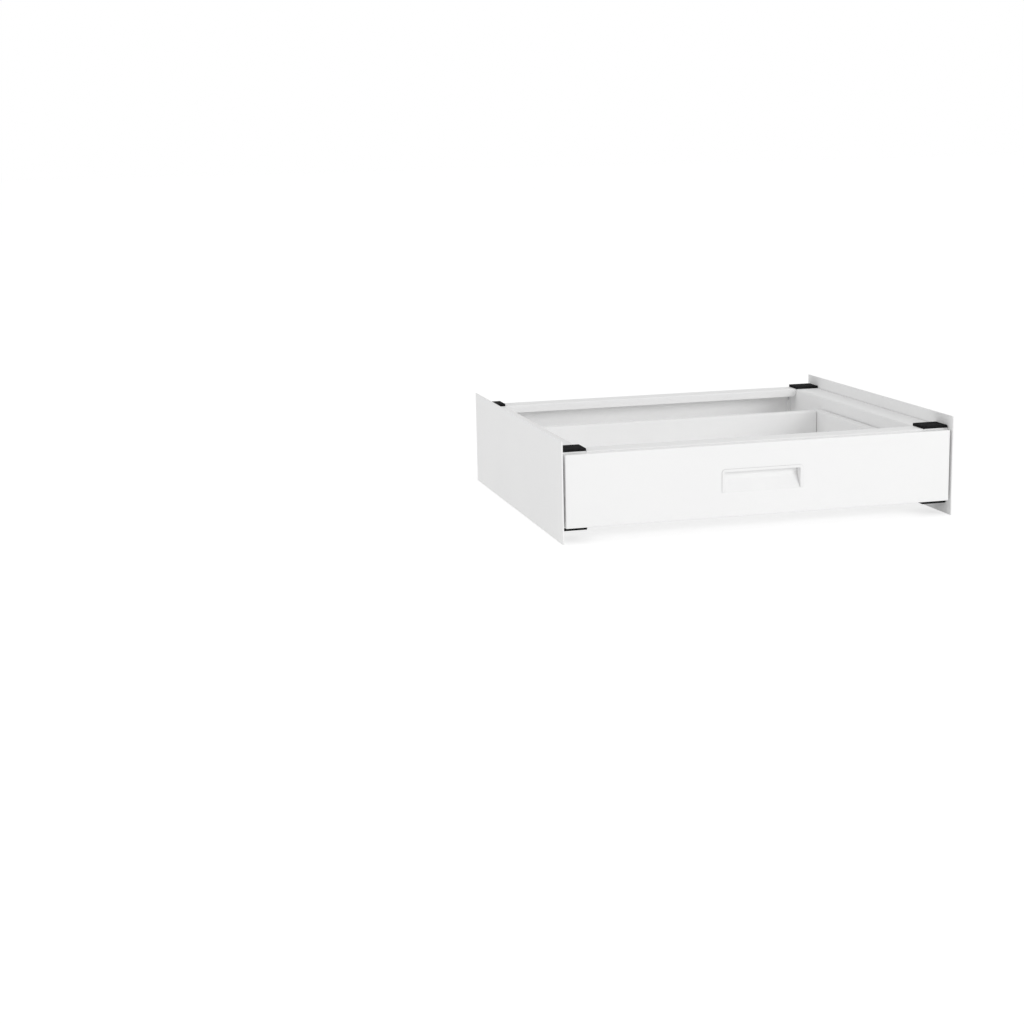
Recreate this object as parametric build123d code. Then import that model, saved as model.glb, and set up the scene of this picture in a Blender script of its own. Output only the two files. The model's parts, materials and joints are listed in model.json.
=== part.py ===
from build123d import *
import os

# A frame with a drawer that stands between a washing machine and a tumble dryer.
# Millimetres. X points right, Y points back, Z points up. The origin is at the
# bottom centre, level with the lower edges of the two side panels.

# Overall sizes
outer_width = 612.0
panel_depth = 541.0
panel_below_pads = 16.5
panel_above_pads = 15.0
panel_thickness = 2.0
panel_corner_radius = 5.0

# Frame of folded sheet
frame_height = 111.0
frame_front_setback = 15.0
frame_rear_setback = 5.0
frame_sheet = 1.5
frame_bend = 1.0
channel_width = 40.0
channel_lip = 14.0
top_rail_height = 16.5
bottom_rail_height = 18.5
rail_depth = 35.0
rail_back_lip = 10.0
rear_top_depth = 35.0
rear_bottom_depth = 25.0
rear_lip_height = 12.8
rear_lip_cut_width = 4.0
rear_lip_cut_height = 4.0
rear_member_end_gap = 0.2
rear_tab_length = 9.5
rear_tab_relief = 0.5

# Rubber pads
top_pad_thickness = 4.0
bottom_pad_thickness = 4.5
pad_length = 38.0
pad_inset = 0.5
pad_corner_radius = 1.5
pad_edge_chamfer = 0.5

# Drawer of folded sheet
drawer_sheet = 1.2
drawer_bend = 1.0
floor_sheet = 1.0
tray_past_slide = 10.6
drawer_top_clearance = 4.5
drawer_bottom_clearance = 10.5
drawer_flange_gap = 1.5
drawer_back_flange = 12.0
corner_relief = 0.5

# Drawer front board and the finger pull that is set into it
front_thickness = 11.4
front_side_gap = 3.6
front_reveal = 1.75
front_edge_radius = 1.2
pull_width = 126.6
pull_height = 33.7
pull_drop = 36.5
pull_rim_width = 4.0
pull_rim_thickness = 1.0
pull_rim_radius = 5.0
pull_rim_edge_radius = 0.4
pull_wall = 1.2
pull_back_gap = 0.7
pull_body_radius = 3.0
pull_hollow_radius = 2.0
pull_draft = 1.3
pull_deep_height = 9.2
pull_floor_radius = 20.0
pull_tool_share = 1.3

# Ball-bearing slides
slide_thickness = 12.7
slide_height = 45.0
slide_length = 350.0
slide_front_inset = 2.0
slide_sheet = 1.2
slide_bend = 0.6
slide_reach = 10.6
slide_lip = 2.6
middle_reach = 7.2
ball_diameter = 4.4
ball_gap = 0.2
ball_seat_gap = 0.05
outer_ball_place = 6.6
inner_ball_place = 9.4
balls_per_row = 6
cage_sheet = 0.6
cage_gap = 1.0
cage_length = 150.0
cage_margin = 5.0
cage_end_margin = 12.0
cage_side_margin = 0.4
buffer_length = 5.0
buffer_gap = 0.3
buffer_side_gap = 0.2

# Fasteners
screw_shank_radius = 2.0
screw_head_radius = 3.5
screw_head_height = 2.2
screw_tail = 3.0
hole_gap = 0.1
socket_radius = 2.0
socket_depth = 1.0
slim_head_height = 0.8
slim_socket_depth = 0.4
slide_screw_end_distance = 30.0
slide_screw_count = 3
rail_screw_spacing = 18.0
board_screw_radius = 1.75
board_screw_length = 9.0
board_screw_end_distance = 30.0
board_screw_edge_distance = 11.0
board_screw_columns = 4
rivet_shank_radius = 1.6
rivet_head_radius = 3.0
rivet_head_height = 0.9
rear_rivet_count = 3
rear_rivet_end_distance = 20.0
corner_rivet_edge_distance = 12.0
floor_rivet_count = 3
floor_rivet_end_distance = 40.0

# One length by which every cutting tool passes the faces that it cuts
overrun = 2.0

# Places that follow from the sizes
panel_inner_x = outer_width / 2 - panel_thickness
opening_half = panel_inner_x - channel_width
panel_front_y = -panel_depth / 2
frame_front_y = panel_front_y + frame_front_setback
frame_rear_y = panel_depth / 2 - frame_rear_setback
frame_bottom_z = panel_below_pads + bottom_pad_thickness
frame_top_z = frame_bottom_z + frame_height
panel_height = frame_top_z + top_pad_thickness + panel_above_pads
frame_outer_radius = frame_bend + frame_sheet

front_face_y = panel_front_y + pull_rim_thickness
front_back_y = front_face_y + front_thickness
front_half_width = panel_inner_x - front_side_gap
front_bottom_z = frame_bottom_z + front_reveal
front_top_z = frame_top_z - front_reveal

pull_top_z = front_top_z - pull_drop
pull_bottom_z = pull_top_z - pull_height
hollow_half_width = pull_width / 2 - pull_rim_width
hollow_top_z = pull_top_z - pull_rim_width
body_half_width = hollow_half_width + pull_wall
body_top_z = hollow_top_z + pull_wall
body_bottom_z = pull_bottom_z - pull_wall
body_back_y = front_back_y - pull_back_gap
hollow_back_y = body_back_y - pull_wall

drawer_bottom_z = frame_bottom_z + bottom_rail_height + drawer_bottom_clearance
drawer_top_z = frame_top_z - top_rail_height - drawer_top_clearance
wall_outer_x = opening_half - slide_thickness
wall_inner_x = wall_outer_x - drawer_sheet
floor_top_z = drawer_bottom_z + floor_sheet
flange_edge_x = opening_half - drawer_flange_gap
corner_z = drawer_sheet + drawer_bend
corner_end_y = front_back_y + corner_z + corner_relief
tray_front_y = front_back_y + drawer_sheet

slide_front_y = frame_front_y + slide_front_inset
slide_rear_y = slide_front_y + slide_length
tray_back_y = slide_rear_y + tray_past_slide
drawer_rear_y = tray_back_y + drawer_back_flange
slide_centre_z = (floor_top_z + drawer_top_z) / 2
moving_rail_rear_y = slide_rear_y - buffer_length - buffer_gap
drawer_travel = slide_length
cage_front_y = slide_front_y + drawer_travel / 4 + cage_margin
ball_radius = ball_diameter / 2


def folded_section(points, thickness, bend):
    """Face of a bent sheet that lies to the right of a path along one of its sides."""
    path = [Vector(*point) for point in points]
    runs = [(end - start).normalized() for start, end in zip(path, path[1:])]
    rights = [Vector(run.Y, -run.X) for run in runs]
    far_side = [path[0] + rights[0] * thickness]
    near_radii = [0]
    far_radii = [0]
    for index in range(1, len(path) - 1):
        before = rights[index - 1]
        after = rights[index]
        far_side.append(path[index] + (before + after) * (thickness / (1 + before.dot(after))))
        turns_left = runs[index - 1].cross(runs[index]).Z > 0
        near_radii.append(bend if turns_left else bend + thickness)
        far_radii.append(bend + thickness if turns_left else bend)
    far_side.append(path[-1] + rights[-1] * thickness)
    outline = path + far_side[::-1]
    radii = near_radii + [0, 0] + far_radii[:0:-1] + [0]
    return make_face(FilletPolyline(*outline, radius=radii, close=True))


def plate_section(points, radii):
    """Face of a flat plate with rounded corners."""
    return make_face(FilletPolyline(*points, radius=radii, close=True))


def along_x(section, start, end):
    """Solid of a section drawn in Y and Z, from one X to another."""
    return extrude(Plane.YZ.offset(start) * section, amount=end - start, dir=(1, 0, 0))


def along_y(section, start, end):
    """Solid of a section drawn in X and Z, from one Y to another."""
    plane = Plane(origin=(0, start, 0), x_dir=(1, 0, 0), z_dir=(0, -1, 0))
    return extrude(plane * section, amount=end - start, dir=(0, 1, 0))


def along_z(section, start, end):
    """Solid of a section drawn in X and Y, from one Z to another."""
    return extrude(Plane.XY.offset(start) * section, amount=end - start, dir=(0, 0, 1))


def block(low, high):
    """Box between two corners."""
    size = [upper - lower for lower, upper in zip(low, high)]
    return Pos(*low) * Box(*size, align=(Align.MIN, Align.MIN, Align.MIN))


def rod(start, direction, length, radius):
    """Cylinder from a point along a direction."""
    plane = Plane(origin=start, z_dir=direction)
    return plane * Cylinder(radius, length, align=(Align.CENTER, Align.CENTER, Align.MIN))


def screw(seat, direction, shank, radius, head_height, socket):
    """Socket-head screw: the head stands behind the seat and the shank runs along the direction."""
    back = Vector(*direction) * -1
    seat = Vector(*seat)
    head = rod(seat, back, head_height, screw_head_radius)
    head = fillet(head.faces().sort_by(Axis(seat, back))[-1].edges(), head_height / 3)
    body = head + rod(seat, direction, shank, radius)
    top = seat + back * head_height
    hexagon = Plane(origin=top, z_dir=direction) * RegularPolygon(socket_radius, 6)
    return body - extrude(hexagon, amount=socket, dir=direction)


def rivet(seat, direction, grip):
    """Blind rivet: a domed head behind the seat and a closing head after the grip."""
    back = Vector(*direction) * -1
    seat = Vector(*seat)
    tail = seat + Vector(*direction) * grip
    head = rod(seat, back, rivet_head_height, rivet_head_radius)
    head = fillet(head.faces().sort_by(Axis(seat, back))[-1].edges(), rivet_head_height / 2)
    shank = rod(seat, direction, grip, rivet_shank_radius)
    closing = rod(tail, direction, rivet_head_height, rivet_head_radius)
    closing = fillet(closing.faces().sort_by(Axis(tail, direction))[-1].edges(), rivet_head_height / 2)
    return head + shank + closing


def spread(first, last, count):
    """Evenly spaced places from the first to the last."""
    step = (last - first) / (count - 1)
    return [first + step * index for index in range(count)]


def left_of(shape):
    """The mirror image of a right-hand piece."""
    return mirror(shape, about=Plane.YZ)


# Screw and rivet places, shared by the fasteners and by the holes that they pass

slide_screw_ys = spread(
    slide_front_y + slide_screw_end_distance,
    moving_rail_rear_y - slide_screw_end_distance,
    slide_screw_count,
)
rail_middle_y = frame_front_y + rail_depth / 2
rail_screw_ys = spread(rail_middle_y - rail_screw_spacing / 2, rail_middle_y + rail_screw_spacing / 2, 2)
top_rail_screw_z = frame_top_z - (frame_sheet + rail_back_lip) / 2
bottom_rail_screw_z = frame_bottom_z + (frame_sheet + rail_back_lip) / 2
rear_rivet_zs = spread(
    frame_bottom_z + rear_rivet_end_distance,
    frame_top_z - rear_rivet_end_distance,
    rear_rivet_count,
)
rear_rivet_y = frame_rear_y - (frame_outer_radius + rear_tab_length) / 2
board_screw_zs = [
    floor_top_z + board_screw_edge_distance,
    drawer_top_z - board_screw_edge_distance,
]
board_screw_reach = wall_inner_x - board_screw_end_distance
board_screw_xs = spread(-board_screw_reach, board_screw_reach, board_screw_columns)
tab_screw_x = (wall_outer_x + flange_edge_x) / 2
floor_rivet_x = tab_screw_x
floor_rivet_ys = spread(
    corner_end_y + floor_rivet_end_distance, drawer_rear_y - floor_rivet_end_distance, floor_rivet_count
)
back_rivet_xs = spread(-board_screw_reach, board_screw_reach, floor_rivet_count)
back_rivet_y = (tray_back_y + drawer_sheet + drawer_rear_y) / 2
corner_rivet_zs = [
    floor_top_z + corner_rivet_edge_distance,
    drawer_top_z - corner_rivet_edge_distance,
]


def channel_wall_holes():
    """Tools for the screw holes through the inner wall of the right-hand channel."""
    tools = []
    for y in slide_screw_ys:
        tools.append((y, slide_centre_z))
    for y in rail_screw_ys:
        tools.append((y, top_rail_screw_z))
        tools.append((y, bottom_rail_screw_z))
    start_x = opening_half - overrun
    length = frame_sheet + 2 * overrun
    radius = screw_shank_radius + hole_gap
    return [rod((start_x, y, z), (1, 0, 0), length, radius) for y, z in tools]


# Frame pieces

def side_panel():
    """Right-hand side panel with a rounded upper front corner."""
    section = plate_section(
        [
            (panel_front_y, 0),
            (panel_front_y, panel_height),
            (-panel_front_y, panel_height),
            (-panel_front_y, 0),
        ],
        [0, panel_corner_radius, 0, 0],
    )
    return along_x(section, panel_inner_x, outer_width / 2)


def side_channel():
    """Right-hand channel of C section with lips, open towards the side panel."""
    section = folded_section(
        [
            (panel_inner_x, frame_bottom_z + channel_lip),
            (panel_inner_x, frame_bottom_z),
            (opening_half, frame_bottom_z),
            (opening_half, frame_top_z),
            (panel_inner_x, frame_top_z),
            (panel_inner_x, frame_top_z - channel_lip),
        ],
        frame_sheet,
        frame_bend,
    )
    channel = along_y(section, frame_front_y + frame_sheet, frame_rear_y - frame_sheet)
    return channel - channel_wall_holes() - rear_rivet_holes()


def end_plate(front_y):
    """Plate that closes one end of the right-hand channel."""
    section = plate_section(
        [
            (opening_half, frame_bottom_z),
            (opening_half, frame_top_z),
            (panel_inner_x, frame_top_z),
            (panel_inner_x, frame_bottom_z),
        ],
        frame_outer_radius,
    )
    return along_y(section, front_y, front_y + frame_sheet)


def rear_rivet_holes():
    """Tools for the rivet holes through the rear member's right-hand tab and the channel's inner wall."""
    start_x = opening_half - frame_sheet - overrun
    length = 2 * frame_sheet + 2 * overrun
    radius = rivet_shank_radius + hole_gap
    return [rod((start_x, rear_rivet_y, z), (1, 0, 0), length, radius) for z in rear_rivet_zs]


def rear_cross_member():
    """Folded rear member: lip, top flange, full-height web, bottom flange and a tab at each end."""
    lip_y = frame_rear_y - rear_top_depth
    section = folded_section(
        [
            (lip_y, frame_top_z - rear_lip_height),
            (lip_y, frame_top_z),
            (frame_rear_y, frame_top_z),
            (frame_rear_y, frame_bottom_z),
            (frame_rear_y - rear_bottom_depth, frame_bottom_z),
        ],
        frame_sheet,
        frame_bend,
    )
    half = opening_half - rear_member_end_gap
    member = along_x(section, -half, half)
    lip_bottom_z = frame_top_z - rear_lip_height
    corner = Polyline(
        (half - rear_lip_cut_width, lip_bottom_z - overrun),
        (half - rear_lip_cut_width, lip_bottom_z),
        (half, lip_bottom_z + rear_lip_cut_height),
        (half + overrun, lip_bottom_z + rear_lip_cut_height),
        (half + overrun, lip_bottom_z - overrun),
        close=True,
    )
    lip_cut = along_y(make_face(corner), lip_y - overrun, lip_y + frame_sheet + overrun)
    web_half = opening_half - frame_outer_radius - rear_tab_relief
    low_z = frame_bottom_z + frame_outer_radius
    high_z = frame_top_z - frame_outer_radius
    web_cut = block(
        (web_half, frame_rear_y - frame_outer_radius, low_z),
        (half + overrun, frame_rear_y + overrun, high_z),
    )
    member -= [lip_cut, left_of(lip_cut), web_cut, left_of(web_cut)]
    bend = folded_section(
        [
            (web_half, frame_rear_y),
            (opening_half, frame_rear_y),
            (opening_half, frame_rear_y - rear_tab_length),
        ],
        frame_sheet,
        frame_bend,
    )
    tab = along_z(bend, low_z + rear_tab_relief, high_z - rear_tab_relief) - rear_rivet_holes()
    return member + tab + left_of(tab)


def front_rail(path, screw_z):
    """Front rail of C section with a screwed plate at each end."""
    plate_x = opening_half - frame_sheet
    rail = along_x(folded_section(path, frame_sheet, frame_bend), -opening_half, opening_half)
    corners = [0, frame_outer_radius, frame_outer_radius, 0]
    plate = along_x(plate_section(path, corners), plate_x, opening_half)
    start_x = plate_x - overrun
    length = frame_sheet + 2 * overrun
    radius = screw_shank_radius + hole_gap
    plate -= [rod((start_x, y, screw_z), (1, 0, 0), length, radius) for y in rail_screw_ys]
    return rail + plate + left_of(plate)


def front_top_rail():
    back_y = frame_front_y + rail_depth
    path = [
        (frame_front_y, frame_top_z - top_rail_height),
        (frame_front_y, frame_top_z),
        (back_y, frame_top_z),
        (back_y, frame_top_z - rail_back_lip),
    ]
    return front_rail(path, top_rail_screw_z)


def front_bottom_rail():
    back_y = frame_front_y + rail_depth
    path = [
        (back_y, frame_bottom_z + rail_back_lip),
        (back_y, frame_bottom_z),
        (frame_front_y, frame_bottom_z),
        (frame_front_y, frame_bottom_z + bottom_rail_height),
    ]
    return front_rail(path, bottom_rail_screw_z)


def pad(at_front, at_top):
    """Right-hand rubber pad at one corner, above or below the channel."""
    width = channel_width - 2 * pad_inset
    thickness = top_pad_thickness if at_top else bottom_pad_thickness
    shape = along_z(RectangleRounded(width, pad_length, pad_corner_radius), 0, thickness)
    shape = chamfer(shape.faces().sort_by(Axis.Z)[-1].edges(), pad_edge_chamfer)
    centre_x = opening_half + channel_width / 2
    reach = pad_inset + pad_length / 2
    centre_y = frame_front_y + reach if at_front else frame_rear_y - reach
    if at_top:
        return Pos(centre_x, centre_y, frame_top_z) * shape
    return Pos(centre_x, centre_y, frame_bottom_z) * (Rot(180, 0, 0) * shape)


# Slide pieces. A depth is counted from the channel's inner wall towards the drawer.

outer_flange_z = slide_height / 2 - slide_sheet
outer_ball_z = outer_flange_z - ball_gap - ball_radius
middle_half_height = outer_ball_z - ball_radius - ball_gap
inner_ball_z = middle_half_height - slide_sheet - ball_gap - ball_radius
inner_half_height = inner_ball_z - ball_radius - ball_gap
outer_cage_depth = slide_sheet + cage_gap
middle_depth = outer_cage_depth + cage_sheet + cage_gap
inner_cage_depth = middle_depth + slide_sheet + cage_gap
inner_rail_depth = inner_cage_depth + cage_sheet + cage_gap


def slide_point(depth, height):
    """Point of a right-hand slide's section, from its depth and its height above the centre line."""
    return (opening_half - depth, slide_centre_z + height)


def outer_rail():
    """C-shaped rail fixed to the right-hand channel."""
    half = slide_height / 2
    section = folded_section(
        [
            slide_point(slide_reach, -half + slide_lip),
            slide_point(slide_reach, -half),
            slide_point(0, -half),
            slide_point(0, half),
            slide_point(slide_reach, half),
            slide_point(slide_reach, half - slide_lip),
        ][::-1],
        slide_sheet,
        slide_bend,
    )
    rail = along_y(section, slide_front_y, slide_rear_y)
    start = opening_half + overrun
    length = slide_sheet + 2 * overrun
    radius = screw_shank_radius + hole_gap
    return rail - [rod((start, y, slide_centre_z), (-1, 0, 0), length, radius) for y in slide_screw_ys]


def middle_rail():
    """Rail that runs on balls inside the outer rail and carries the inner rail."""
    far = middle_depth + middle_reach
    section = folded_section(
        [
            slide_point(far, middle_half_height),
            slide_point(middle_depth, middle_half_height),
            slide_point(middle_depth, -middle_half_height),
            slide_point(far, -middle_half_height),
        ],
        slide_sheet,
        slide_bend,
    )
    return along_y(section, slide_front_y, moving_rail_rear_y)


def inner_rail():
    """Rail fixed to the drawer's side, facing the middle rail."""
    section = folded_section(
        [
            slide_point(inner_rail_depth, -inner_half_height),
            slide_point(slide_thickness, -inner_half_height),
            slide_point(slide_thickness, inner_half_height),
            slide_point(inner_rail_depth, inner_half_height),
        ],
        slide_sheet,
        slide_bend,
    )
    rail = along_y(section, slide_front_y, moving_rail_rear_y)
    start = wall_outer_x - overrun
    length = slide_sheet + 2 * overrun
    radius = screw_shank_radius + hole_gap
    return rail - [rod((start, y, slide_centre_z), (1, 0, 0), length, radius) for y in slide_screw_ys]


def ball_places(depth, height):
    """Centres of the two rows of balls in one cage of the right-hand slide."""
    x = opening_half - depth
    first = cage_front_y + cage_end_margin
    last = cage_front_y + cage_length - cage_end_margin
    rows = [slide_centre_z - height, slide_centre_z + height]
    return [(x, y, z) for z in rows for y in spread(first, last, balls_per_row)]


def ball_set(depth, height):
    """One cage's balls, as separate solids."""
    return [Pos(*place) * Sphere(ball_radius) for place in ball_places(depth, height)]


def ball_cage(web_depth, ball_depth, height):
    """Thin channel that keeps one set of balls apart."""
    far = ball_depth + ball_radius + cage_side_margin
    half = height + cage_sheet / 2
    section = folded_section(
        [
            slide_point(far, half),
            slide_point(web_depth, half),
            slide_point(web_depth, -half),
            slide_point(far, -half),
        ],
        cage_sheet,
        slide_bend,
    )
    cage = along_y(section, cage_front_y, cage_front_y + cage_length)
    radius = ball_radius + ball_seat_gap
    depth = cage_sheet + 2 * overrun
    return cage - [
        Pos(*place) * Cylinder(radius, depth) for place in ball_places(ball_depth, height)
    ]


def slide_buffer():
    """Soft block in the rear end of the right-hand outer rail, which stops the moving rails."""
    low = slide_point(slide_reach - slide_sheet - buffer_side_gap, -outer_flange_z)
    high = slide_point(slide_sheet, outer_flange_z)
    shape = block((low[0], slide_rear_y - buffer_length, low[1]), (high[0], slide_rear_y, high[1]))
    return chamfer(shape.edges().filter_by(Axis.Y), slide_bend)


# Drawer pieces

def drawer_side():
    """Right-hand side wall: both flanges and the front tab turn outwards."""
    section = folded_section(
        [
            (flange_edge_x, floor_top_z),
            (wall_inner_x, floor_top_z),
            (wall_inner_x, drawer_top_z),
            (flange_edge_x, drawer_top_z),
        ],
        drawer_sheet,
        drawer_bend,
    )
    corner = folded_section(
        [(flange_edge_x, front_back_y), (wall_inner_x, front_back_y), (wall_inner_x, corner_end_y)],
        drawer_sheet,
        drawer_bend,
    )
    wall = along_y(section, corner_end_y, drawer_rear_y)
    wall += along_z(corner, floor_top_z + corner_z, drawer_top_z - corner_z)
    start_x = wall_inner_x - overrun
    length = drawer_sheet + 2 * overrun
    radius = screw_shank_radius + hole_gap
    wall -= [rod((start_x, y, slide_centre_z), (1, 0, 0), length, radius) for y in slide_screw_ys]
    return wall - corner_rivet_holes() - tab_screw_holes() - floor_rivet_holes()


def corner_rivet_holes():
    """Tools for the rivet holes through the right-hand wall and the back wall's tab beside it."""
    start_x = wall_inner_x - drawer_sheet - overrun
    length = 2 * drawer_sheet + 2 * overrun
    radius = rivet_shank_radius + hole_gap
    return [rod((start_x, back_rivet_y, z), (1, 0, 0), length, radius) for z in corner_rivet_zs]


def tab_screw_holes():
    """Tools for the screw holes through the right-hand wall's front tab."""
    start_y = front_back_y - overrun
    length = drawer_sheet + 2 * overrun
    radius = board_screw_radius + hole_gap
    return [rod((tab_screw_x, start_y, z), (0, 1, 0), length, radius) for z in board_screw_zs]


def floor_rivet_holes():
    """Tools for the rivet holes through the right-hand wall's lower flange and the floor."""
    start_z = drawer_bottom_z - overrun
    length = floor_sheet + drawer_sheet + 2 * overrun
    radius = rivet_shank_radius + hole_gap
    return [rod((floor_rivet_x, y, start_z), (0, 0, 1), length, radius) for y in floor_rivet_ys]


def back_rivet_holes():
    """Tools for the rivet holes through the back wall's lower flange and the floor."""
    start_z = drawer_bottom_z - overrun
    length = floor_sheet + drawer_sheet + 2 * overrun
    radius = rivet_shank_radius + hole_gap
    return [rod((x, back_rivet_y, start_z), (0, 0, 1), length, radius) for x in back_rivet_xs]


def drawer_inner_front():
    """Flat inner wall behind the front board."""
    wall = block(
        (-wall_inner_x, front_back_y, floor_top_z),
        (wall_inner_x, tray_front_y, drawer_top_z),
    )
    start_y = front_back_y - overrun
    length = drawer_sheet + 2 * overrun
    radius = board_screw_radius + hole_gap
    return wall - [
        rod((x, start_y, z), (0, 1, 0), length, radius) for x in board_screw_xs for z in board_screw_zs
    ]


def drawer_back():
    """Back wall: its upper and lower flanges and its two end tabs turn rearwards."""
    section = folded_section(
        [
            (drawer_rear_y, floor_top_z),
            (tray_back_y, floor_top_z),
            (tray_back_y, drawer_top_z),
            (drawer_rear_y, drawer_top_z),
        ],
        drawer_sheet,
        drawer_bend,
    )
    web_half = wall_inner_x - corner_z - corner_relief
    corner = folded_section(
        [(wall_inner_x, drawer_rear_y), (wall_inner_x, tray_back_y), (web_half, tray_back_y)],
        drawer_sheet,
        drawer_bend,
    )
    tab = along_z(corner, floor_top_z + corner_z, drawer_top_z - corner_z) - corner_rivet_holes()
    wall = along_x(section, -web_half, web_half) - back_rivet_holes()
    return wall + tab + left_of(tab)


def drawer_floor():
    """Flat floor that all the walls stand on."""
    floor = block(
        (-flange_edge_x, front_back_y, drawer_bottom_z),
        (flange_edge_x, drawer_rear_y, floor_top_z),
    )
    holes = floor_rivet_holes()
    return floor - holes - [left_of(hole) for hole in holes] - back_rivet_holes()


def pull_body_section():
    """Front outline of the finger pull's body and of its cutout in the board."""
    corners = [
        (-body_half_width, body_bottom_z),
        (body_half_width, body_bottom_z),
        (body_half_width, body_top_z),
        (-body_half_width, body_top_z),
    ]
    return plate_section(corners, [pull_body_radius] * len(corners))


def pull_side_section(back_y, low_z, wall, radius):
    """Side outline behind the finger pull's sloping floor, at a wall's thickness from it."""
    start_y = panel_front_y - overrun
    high_z = pull_top_z + overrun
    slope = (hollow_back_y - front_face_y) / (hollow_top_z - pull_deep_height - pull_bottom_z)
    floor_y = front_face_y + wall * (1 + slope**2) ** 0.5
    low_y = floor_y + slope * (low_z - pull_bottom_z)
    bend_z = pull_bottom_z + (back_y - floor_y) / slope
    points = [(start_y, low_z), (low_y, low_z), (back_y, bend_z), (back_y, high_z), (start_y, high_z)]
    return plate_section(points, [0, 0, radius, 0, 0])


def pull_hollow():
    """The finger pull's hollow: steep at its top and sides, with a floor that slopes out below."""
    depth = (hollow_back_y - panel_front_y) * pull_tool_share
    inset = pull_draft * pull_tool_share
    low_z = pull_bottom_z - pull_hollow_radius - inset - overrun
    height = hollow_top_z - low_z
    mouth = RectangleRounded(2 * hollow_half_width, height, pull_hollow_radius)
    deep = RectangleRounded(2 * (hollow_half_width - inset), height - 2 * inset, pull_hollow_radius)
    face = Plane(origin=(0, panel_front_y, (hollow_top_z + low_z) / 2), x_dir=(1, 0, 0), z_dir=(0, -1, 0))
    funnel = loft([face * mouth, face.offset(-depth) * deep])
    funnel += extrude(face * mouth, amount=overrun)
    side = pull_side_section(hollow_back_y, pull_bottom_z, 0, pull_floor_radius)
    return funnel & along_x(side, -pull_width, pull_width)


def drawer_pull():
    """Finger pull: a cup with a raised rim at its top and sides, set into the front board."""
    half = pull_width / 2
    outline = plate_section(
        [(-half, pull_bottom_z), (half, pull_bottom_z), (half, pull_top_z), (-half, pull_top_z)],
        [0, 0, pull_rim_radius, pull_rim_radius],
    )
    rim = along_y(outline, panel_front_y, front_face_y)
    rim = fillet(rim.faces().sort_by(Axis.Y)[0].edges(), pull_rim_edge_radius)
    side = pull_side_section(body_back_y, body_bottom_z - overrun, pull_wall, pull_floor_radius + pull_wall)
    body = along_y(pull_body_section(), front_face_y, front_back_y) & along_x(side, -pull_width, pull_width)
    return rim + body - pull_hollow()


def drawer_front():
    """Front board with softened edges, a cutout for the finger pull and pilot holes for its screws."""
    board = block(
        (-front_half_width, front_face_y, front_bottom_z),
        (front_half_width, front_back_y, front_top_z),
    )
    face_edges = board.faces().sort_by(Axis.Y)[0].edges()
    board = fillet(face_edges + board.edges().filter_by(Axis.Y), front_edge_radius)
    board -= along_y(pull_body_section(), front_face_y - overrun, front_back_y + overrun)
    start_y = front_back_y + overrun
    length = board_screw_length + overrun + hole_gap
    radius = board_screw_radius + hole_gap
    columns = board_screw_xs + [-tab_screw_x, tab_screw_x]
    return board - [rod((x, start_y, z), (0, -1, 0), length, radius) for x in columns for z in board_screw_zs]


# Fastener groups

def rail_screws(z):
    """Screws of one front rail, at its right-hand end."""
    seat_x = opening_half - frame_sheet
    shank = 2 * frame_sheet + screw_tail
    return [
        screw((seat_x, y, z), (1, 0, 0), shank, screw_shank_radius, screw_head_height, socket_depth)
        for y in rail_screw_ys
    ]


def slim_screws(seat_x, direction, shank):
    """Low-headed screws along the middle line of the right-hand slide."""
    seats = [(seat_x, y, slide_centre_z) for y in slide_screw_ys]
    return [
        screw(seat, direction, shank, screw_shank_radius, slim_head_height, slim_socket_depth)
        for seat in seats
    ]


def slide_frame_screws():
    """Slim screws that hold the right-hand outer rail to its channel."""
    seat_x = opening_half - slide_sheet
    shank = slide_sheet + frame_sheet + screw_tail
    return slim_screws(seat_x, (1, 0, 0), shank)


def slide_drawer_screws():
    """Slim screws that hold the right-hand inner rail to the drawer's wall."""
    seat_x = wall_outer_x + slide_sheet
    shank = slide_sheet + drawer_sheet
    return slim_screws(seat_x, (-1, 0, 0), shank)


def front_screws():
    """Screws into the front board, through the inner front and the side walls' tabs."""
    shank = drawer_sheet + board_screw_length
    columns = board_screw_xs + [-tab_screw_x, tab_screw_x]
    return [
        screw((x, tray_front_y, z), (0, -1, 0), shank, board_screw_radius, screw_head_height, socket_depth)
        for x in columns
        for z in board_screw_zs
    ]


def rear_rivets():
    """Rivets of the rear member's right-hand tab, set from between the channels."""
    seat_x = opening_half - frame_sheet
    return [rivet((seat_x, rear_rivet_y, z), (1, 0, 0), 2 * frame_sheet) for z in rear_rivet_zs]


def corner_rivets():
    """Rivets of the right-hand rear corner, set through the back wall's tab."""
    seat_x = wall_inner_x - drawer_sheet
    return [rivet((seat_x, back_rivet_y, z), (1, 0, 0), 2 * drawer_sheet) for z in corner_rivet_zs]


def floor_rivets():
    """Rivets that hold the floor to the right-hand wall, set from above."""
    seat_z = floor_top_z + drawer_sheet
    grip = floor_sheet + drawer_sheet
    return [rivet((floor_rivet_x, y, seat_z), (0, 0, -1), grip) for y in floor_rivet_ys]


def back_floor_rivets():
    """Rivets that hold the floor to the back wall, set from above."""
    seat_z = floor_top_z + drawer_sheet
    grip = floor_sheet + drawer_sheet
    return [rivet((x, back_rivet_y, seat_z), (0, 0, -1), grip) for x in back_rivet_xs]


# Output

def write(name, *shapes):
    """One STEP file for one node, which may hold several separate solids."""
    solids = []
    for shape in shapes:
        members = shape if isinstance(shape, list) else [shape]
        for member in members:
            solids.extend(member.solids())
    node = solids[0] if len(solids) == 1 else Compound(children=solids)
    node.label = name
    export_step(node, "parts/" + name + ".step")


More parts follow.
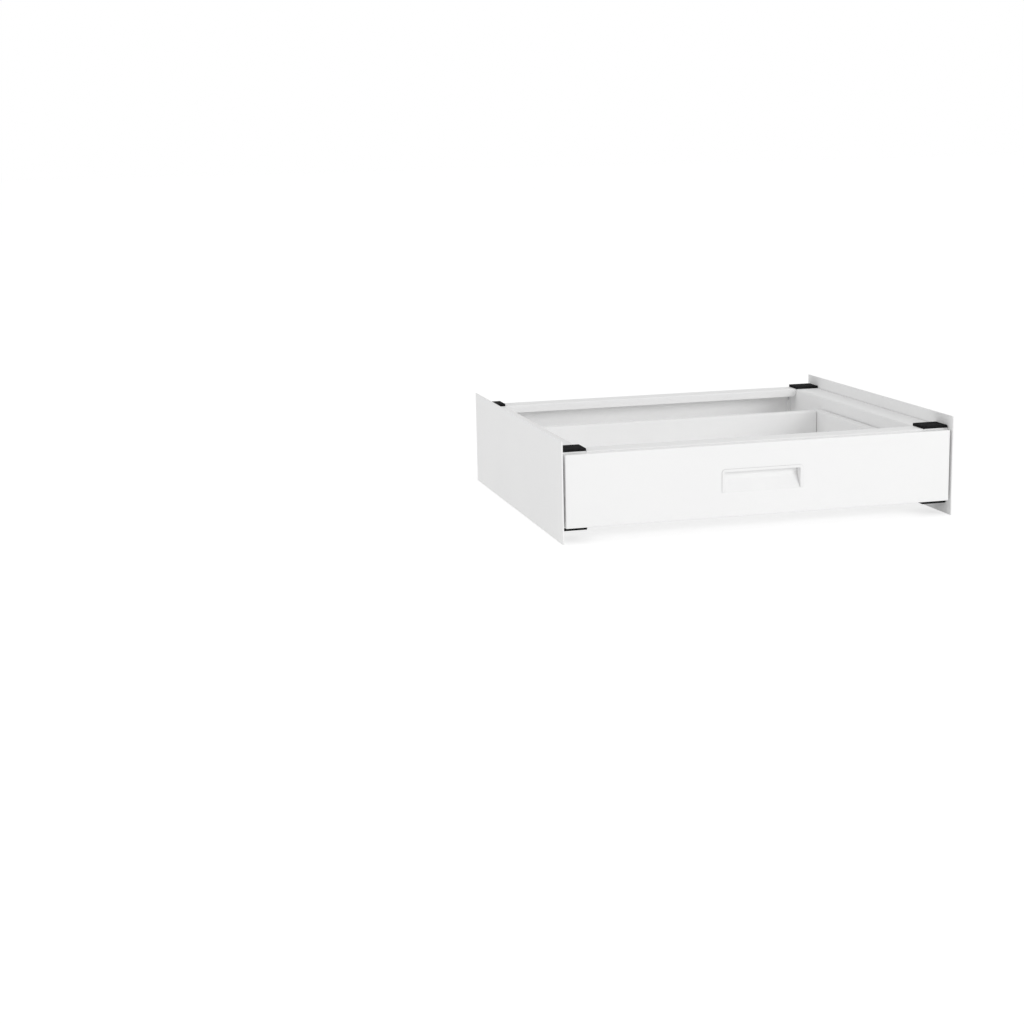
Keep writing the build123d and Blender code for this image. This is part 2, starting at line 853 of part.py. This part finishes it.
def write_pair(name, shape):
    """A right-hand piece and its mirror image, as two nodes."""
    members = shape if isinstance(shape, list) else [shape]
    write(name + "_right", members)
    write(name + "_left", [left_of(member) for member in members])


def both_sides(shapes):
    """Right-hand shapes followed by their mirror images."""
    return shapes + [left_of(shape) for shape in shapes]


os.makedirs("parts", exist_ok=True)

write_pair("side_panel", side_panel())
write_pair("side_channel", side_channel())
write_pair("front_end_plate", end_plate(frame_front_y))
write_pair("rear_end_plate", end_plate(frame_rear_y - frame_sheet))
write("rear_cross_member", rear_cross_member())
write("front_top_rail", front_top_rail())
write("front_bottom_rail", front_bottom_rail())
write_pair("top_pad_front", pad(at_front=True, at_top=True))
write_pair("top_pad_rear", pad(at_front=False, at_top=True))
write_pair("bottom_pad_front", pad(at_front=True, at_top=False))
write_pair("bottom_pad_rear", pad(at_front=False, at_top=False))

write_pair("slide_outer_rail", outer_rail())
write_pair("slide_middle_rail", middle_rail())
write_pair("slide_inner_rail", inner_rail())
write_pair("slide_buffer", slide_buffer())
write_pair("outer_ball_cage", ball_cage(outer_cage_depth, outer_ball_place, outer_ball_z))
write_pair("inner_ball_cage", ball_cage(inner_cage_depth, inner_ball_place, inner_ball_z))
write_pair("outer_balls", ball_set(outer_ball_place, outer_ball_z))
write_pair("inner_balls", ball_set(inner_ball_place, inner_ball_z))

write("drawer_front", drawer_front())
write("drawer_pull", drawer_pull())
write("drawer_inner_front", drawer_inner_front())
write_pair("drawer_side", drawer_side())
write("drawer_back", drawer_back())
write("drawer_floor", drawer_floor())

write("top_rail_screws", both_sides(rail_screws(top_rail_screw_z)))
write("bottom_rail_screws", both_sides(rail_screws(bottom_rail_screw_z)))
write("rear_member_rivets", both_sides(rear_rivets()))
write_pair("slide_frame_screws", slide_frame_screws())
write_pair("slide_drawer_screws", slide_drawer_screws())
write("drawer_front_screws", front_screws())
write("drawer_corner_rivets", both_sides(corner_rivets()))
write("drawer_floor_rivets", both_sides(floor_rivets()) + back_floor_rivets())
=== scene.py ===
"""Looks of a stacking frame with a drawer: materials, floor, light and camera around the frame."""

import json
import math

import bpy
from mathutils import Matrix, Vector


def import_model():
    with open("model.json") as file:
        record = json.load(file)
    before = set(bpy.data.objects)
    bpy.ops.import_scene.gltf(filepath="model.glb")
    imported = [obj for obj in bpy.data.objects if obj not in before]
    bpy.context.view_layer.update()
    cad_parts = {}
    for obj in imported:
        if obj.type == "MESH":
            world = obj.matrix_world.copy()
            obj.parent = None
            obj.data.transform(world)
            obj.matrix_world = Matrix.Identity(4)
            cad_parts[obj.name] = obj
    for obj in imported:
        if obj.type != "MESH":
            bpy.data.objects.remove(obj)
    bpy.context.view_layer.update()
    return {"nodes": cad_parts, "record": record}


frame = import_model()
nodes = frame["nodes"]

WHITE = (1, 1, 1, 1)

# How often the streaks of zinc repeat along X, Y and Z, in waves a metre
STREAKS_ALONG_Y = (900, 9, 900)
EVEN_GRAIN = (500, 500, 500)

# The floor: its half width and its drop below the pads in metres, and its own plain glow.
# The glow's share is larger for the camera, which sees a white floor with a soft shadow on it.
FLOOR_REACH = 40.0
FLOOR_DROP = 0.0005
FLOOR_COLOUR = (0.88, 0.88, 0.88, 1)
FLOOR_ROUGHNESS = 0.9
GLOW_STRENGTH = 1.39
GLOW_SHARE_IN_LIGHT = 0.21
GLOW_SHARE_SEEN = 0.50

# The world's light on the object. To the camera the world is plain white.
WORLD_LIGHT = 0.70

# All stand at one distance and aim at one point.
LAMPS = [
    ("key_light", 32, 18, 2.8, 178.0),
    ("side_light", -95, 9, 2.4, 48.0),
]
LAMP_DISTANCE = 8.0
LAMP_TARGET = Vector((0, 0, 0.08))

CAMERA_YAW = 13.869
CAMERA_PITCH = 11.589
CAMERA_ROLL = -1.307
CAMERA_PLACE = (-0.9783, -2.6925, 0.5655)
FOCAL_LENGTH_IN_PIXELS = 1793.1
FRAME_WIDTH_IN_PIXELS = 1024
SENSOR_WIDTH = 36.0


def feed(tree, socket, value):
    """Links a socket to another node's output, or gives it a plain value."""
    if isinstance(value, bpy.types.NodeSocket):
        tree.links.new(value, socket)
    else:
        socket.default_value = value


def add_node(tree, kind, inputs=None, **settings):
    """New node with its settings and with its inputs fed."""
    made = tree.nodes.new(kind)
    for key, value in settings.items():
        setattr(made, key, value)
    for key, value in (inputs or {}).items():
        feed(tree, made.inputs[key], value)
    return made


def combined(tree, operation, *values):
    """Output of a math node for numbers or sockets."""
    return add_node(tree, "ShaderNodeMath", dict(enumerate(values)), operation=operation).outputs[0]


def mixed(tree, share, first, second):
    """Output that runs from the first shader to the second as the share goes from 0 to 1."""
    inputs = {"Fac": share, 1: first, 2: second}
    return add_node(tree, "ShaderNodeMixShader", inputs).outputs["Shader"]


class Shader:
    """Builds one node material whose coordinates are the part's own, in metres."""

    def __init__(self, name):
        self.material = bpy.data.materials.new(name)
        self.material.use_nodes = True
        self.tree = self.material.node_tree
        self.surface = self.tree.nodes["Principled BSDF"]
        self.place = self.node("ShaderNodeTexCoord").outputs["Object"]

    def node(self, kind, inputs=None, **settings):
        return add_node(self.tree, kind, inputs, **settings)

    def set(self, **values):
        """Feeds the surface's inputs, whose names have underscores for spaces here."""
        for key, value in values.items():
            feed(self.tree, self.surface.inputs[key.replace("_", " ")], value)

    def stretched(self, scales):
        inputs = {"Vector": self.place, "Scale": scales}
        return self.node("ShaderNodeMapping", inputs).outputs["Vector"]

    def noise(self, scale, detail=3.0, roughness=0.55, vector=None):
        inputs = {
            "Vector": vector or self.place,
            "Scale": scale,
            "Detail": detail,
            "Roughness": roughness,
        }
        return self.node("ShaderNodeTexNoise", inputs).outputs["Fac"]

    def cells(self, scale):
        inputs = {"Vector": self.place, "Scale": scale}
        return self.node("ShaderNodeTexVoronoi", inputs).outputs["Distance"]

    def between(self, factor, low, high, start=0.3, end=0.7):
        """A number that runs from low to high while the factor runs from start to end."""
        inputs = {
            "Value": factor,
            "From Min": start,
            "From Max": end,
            "To Min": low,
            "To Max": high,
        }
        return self.node("ShaderNodeMapRange", inputs).outputs["Result"]

    def tint(self, factor, low, high, start=0.3, end=0.7):
        """A colour that runs from low to high while the factor runs from start to end."""
        ramp = self.node("ShaderNodeValToRGB", {"Fac": factor})
        stops = ramp.color_ramp.elements
        for stop, position, colour in zip(stops, (start, end), (low, high)):
            stop.position = position
            stop.color = (*colour, 1)
        return ramp.outputs["Color"]

    def with_painted_crease_shade(self, colour, depth=0.72, reach=0.0025):
        """The colour, darkened where two surfaces meet within reach: painted shade from an
        occlusion mask, standing in for the shade in a real seam.
        """
        # Painted shade: the occlusion mask below darkens the base colour in creases and seams.
        meeting = self.node("ShaderNodeAmbientOcclusion", {"Distance": reach}, samples=8)
        painted_shade = self.between(meeting.outputs["AO"], low=depth, high=1.0, start=0.45, end=0.9)
        product = self.node("ShaderNodeVectorMath", {0: colour, 1: painted_shade}, operation="MULTIPLY")
        return product.outputs["Vector"]

    def bump(self, height, strength, distance, under=None):
        inputs = {"Height": height, "Strength": strength, "Distance": distance}
        if under is not None:
            inputs["Normal"] = under
        return self.node("ShaderNodeBump", inputs).outputs["Normal"]


def powder_coat():
    """White powder coat on steel: a faint orange peel and an almost even colour."""
    m = Shader("white_powder_coat")
    peel = m.bump(m.noise(420, detail=2.0), strength=0.05, distance=0.0004)
    grain = m.bump(m.noise(2600, detail=1.0), strength=0.05, distance=0.0001, under=peel)
    colour = m.tint(
        m.noise(9, detail=4.0), low=(0.895, 0.895, 0.895), high=(0.91, 0.91, 0.908)
    )
    m.set(
        # The base colour carries painted shade in creases.
        Base_Color=m.with_painted_crease_shade(colour, depth=0.9),
        Roughness=m.between(m.noise(60, detail=4.0), low=0.55, high=0.65),
        Specular_IOR_Level=0.3,
        Normal=grain,
    )
    return m.material


def lacquered_board():
    """Smooth white lacquer on the front board, with a long soft waviness."""
    m = Shader("white_lacquer")
    wave = m.bump(m.noise(35, detail=1.0), strength=0.05, distance=0.0006)
    fine = m.bump(m.noise(1500, detail=2.0), strength=0.03, distance=0.0001, under=wave)
    colour = m.tint(m.noise(6), low=(0.895, 0.895, 0.895), high=(0.907, 0.907, 0.905))
    m.set(
        # The base colour carries painted shade in creases.
        Base_Color=m.with_painted_crease_shade(colour),
        Roughness=m.between(m.noise(45), low=0.34, high=0.42),
        Specular_IOR_Level=0.4,
        Coat_Weight=0.15,
        Coat_Roughness=0.25,
        Normal=fine,
    )
    return m.material


def white_plastic():
    """White moulded plastic with a fine satin grain."""
    m = Shader("white_plastic")
    grain = m.bump(m.cells(2400), strength=0.06, distance=0.0001)
    colour = m.tint(m.noise(25), low=(0.875, 0.875, 0.875), high=(0.89, 0.89, 0.888))
    m.set(
        # The base colour carries painted shade in creases.
        Base_Color=m.with_painted_crease_shade(colour),
        Roughness=m.between(m.noise(220), low=0.42, high=0.52),
        Specular_IOR_Level=0.4,
        Normal=grain,
    )
    return m.material


def zinc_plate(name, scales):
    """Zinc-plated steel with the streaks that rolling leaves."""
    m = Shader(name)
    streak = m.noise(1.0, roughness=0.6, vector=m.stretched(scales))
    cloud = m.noise(70, detail=5.0)
    both = combined(m.tree, "MULTIPLY", streak, cloud)
    m.set(
        Base_Color=m.tint(
            both, low=(0.50, 0.51, 0.53), high=(0.72, 0.72, 0.73), start=0.15, end=0.42
        ),
        Metallic=1.0,
        Roughness=m.between(streak, low=0.26, high=0.44),
        Normal=m.bump(streak, strength=0.12, distance=0.0002),
    )
    return m.material


def polished_steel():
    """Bright steel of the balls."""
    m = Shader("polished_steel")
    m.set(
        Base_Color=m.tint(
            m.noise(900, detail=2.0), low=(0.70, 0.71, 0.73), high=(0.80, 0.80, 0.81)
        ),
        Metallic=1.0,
        Roughness=m.between(m.noise(1200, detail=2.0), low=0.08, high=0.16),
    )
    return m.material


def black_rubber():
    """Matte black rubber with a fine moulded grain."""
    m = Shader("black_rubber")
    grain = m.bump(m.cells(1300), strength=0.25, distance=0.0002)
    m.set(
        Base_Color=m.tint(
            m.noise(160, detail=4.0), low=(0.010, 0.010, 0.011), high=(0.022, 0.022, 0.022)
        ),
        Roughness=m.between(m.noise(300), low=0.80, high=0.92),
        Specular_IOR_Level=0.02,
        Normal=grain,
    )
    return m.material


def dark_plastic():
    """Dark plastic of the slides' buffers."""
    m = Shader("dark_plastic")
    m.set(
        Base_Color=m.tint(m.noise(200), low=(0.03, 0.03, 0.033), high=(0.045, 0.045, 0.048)),
        Roughness=m.between(m.noise(400), low=0.48, high=0.60),
        Normal=m.bump(m.noise(1800, detail=2.0), strength=0.15, distance=0.0001),
    )
    return m.material


def dress():
    """Gives every carried-over node the material of its record slot, and fasteners their own."""
    by_slot = {
        "white_coated_steel": powder_coat(),
        "white_board": lacquered_board(),
        "white_plastic": white_plastic(),
        "zinc_steel": zinc_plate("zinc_plated_slide", STREAKS_ALONG_Y),
        "ball_steel": polished_steel(),
        "black_rubber": black_rubber(),
        "buffer_plastic": dark_plastic(),
    }
    fastener = zinc_plate("zinc_plated_fastener", EVEN_GRAIN)
    for row in frame["record"]["subparts"]:
        node = nodes[row["node"]]
        is_fastener = "screws" in node.name or "rivets" in node.name
        node.data.materials.clear()
        node.data.materials.append(fastener if is_fastener else by_slot[row["material_slot"]])


def floor():
    """A plain pale floor: white to the camera, with the object's soft shadow on it."""
    mesh = bpy.data.meshes.new("studio_floor")
    corners = [
        (-FLOOR_REACH, -FLOOR_REACH, 0),
        (FLOOR_REACH, -FLOOR_REACH, 0),
        (FLOOR_REACH, FLOOR_REACH, 0),
        (-FLOOR_REACH, FLOOR_REACH, 0),
    ]
    mesh.from_pydata(corners, [], [(0, 1, 2, 3)])
    plane = bpy.data.objects.new("studio_floor", mesh)
    plane.location.z = -FLOOR_DROP
    bpy.context.scene.collection.objects.link(plane)
    material = bpy.data.materials.new("studio_floor")
    material.use_nodes = True
    tree = material.node_tree
    diffuse = tree.nodes["Principled BSDF"]
    diffuse.inputs["Base Color"].default_value = FLOOR_COLOUR
    diffuse.inputs["Roughness"].default_value = FLOOR_ROUGHNESS
    diffuse.inputs["Specular IOR Level"].default_value = 0.0
    glow = add_node(tree, "ShaderNodeEmission", {"Color": WHITE, "Strength": GLOW_STRENGTH})
    seen = add_node(tree, "ShaderNodeLightPath").outputs["Is Camera Ray"]
    share = combined(
        tree, "MULTIPLY_ADD", seen, GLOW_SHARE_SEEN - GLOW_SHARE_IN_LIGHT, GLOW_SHARE_IN_LIGHT
    )
    surface = mixed(tree, share, diffuse.outputs["BSDF"], glow.outputs["Emission"])
    feed(tree, tree.nodes["Material Output"].inputs["Surface"], surface)
    mesh.materials.append(material)


def world():
    """White to the camera, in reflections and through glass, a softer grey as light."""
    made = bpy.data.worlds.new("studio")
    bpy.context.scene.world = made
    made.use_nodes = True
    tree = made.node_tree
    seen = tree.nodes["Background"]
    seen.inputs["Color"].default_value = WHITE
    light = add_node(tree, "ShaderNodeBackground", {"Color": WHITE, "Strength": WORLD_LIGHT})
    rays = add_node(tree, "ShaderNodeLightPath").outputs
    shown = combined(tree, "MAXIMUM", rays["Is Camera Ray"], rays["Is Glossy Ray"])
    shown = combined(tree, "MAXIMUM", shown, rays["Is Transmission Ray"])
    surface = mixed(tree, shown, light.outputs["Background"], seen.outputs["Background"])
    feed(tree, tree.nodes["World Output"].inputs["Surface"], surface)


def lamp(name, side, rise, size, power):
    side, rise = math.radians(side), math.radians(rise)
    level = math.cos(rise)
    towards = Vector((math.sin(side) * level, -math.cos(side) * level, math.sin(rise)))
    data = bpy.data.lights.new(name, "AREA")
    data.size = size
    data.energy = power
    made = bpy.data.objects.new(name, data)
    made.location = LAMP_TARGET + towards * LAMP_DISTANCE
    made.rotation_mode = "QUATERNION"
    made.rotation_quaternion = towards.to_track_quat("Z", "Y")
    bpy.context.scene.collection.objects.link(made)


def camera():
    """The photograph's camera."""
    yaw, pitch, roll = map(math.radians, (CAMERA_YAW, CAMERA_PITCH, CAMERA_ROLL))
    level = math.cos(pitch)
    forward = Vector((math.sin(yaw) * level, math.cos(yaw) * level, -math.sin(pitch)))
    right = Vector((math.cos(yaw), -math.sin(yaw), 0))
    up = right.cross(forward)
    across = right * math.cos(roll) + up * math.sin(roll)
    upright = up * math.cos(roll) - right * math.sin(roll)
    data = bpy.data.cameras.new("camera")
    data.sensor_width = SENSOR_WIDTH
    data.lens = FOCAL_LENGTH_IN_PIXELS / FRAME_WIDTH_IN_PIXELS * SENSOR_WIDTH
    data.clip_start = 0.01
    data.clip_end = 100.0
    made = bpy.data.objects.new("camera", data)
    made.rotation_mode = "QUATERNION"
    made.rotation_quaternion = Matrix((across, upright, -forward)).transposed().to_quaternion()
    made.location = CAMERA_PLACE
    bpy.context.scene.collection.objects.link(made)
    bpy.context.scene.camera = made


dress()
floor()
world()
for row in LAMPS:
    lamp(*row)
camera()
bpy.context.scene.view_settings.view_transform = "Standard"
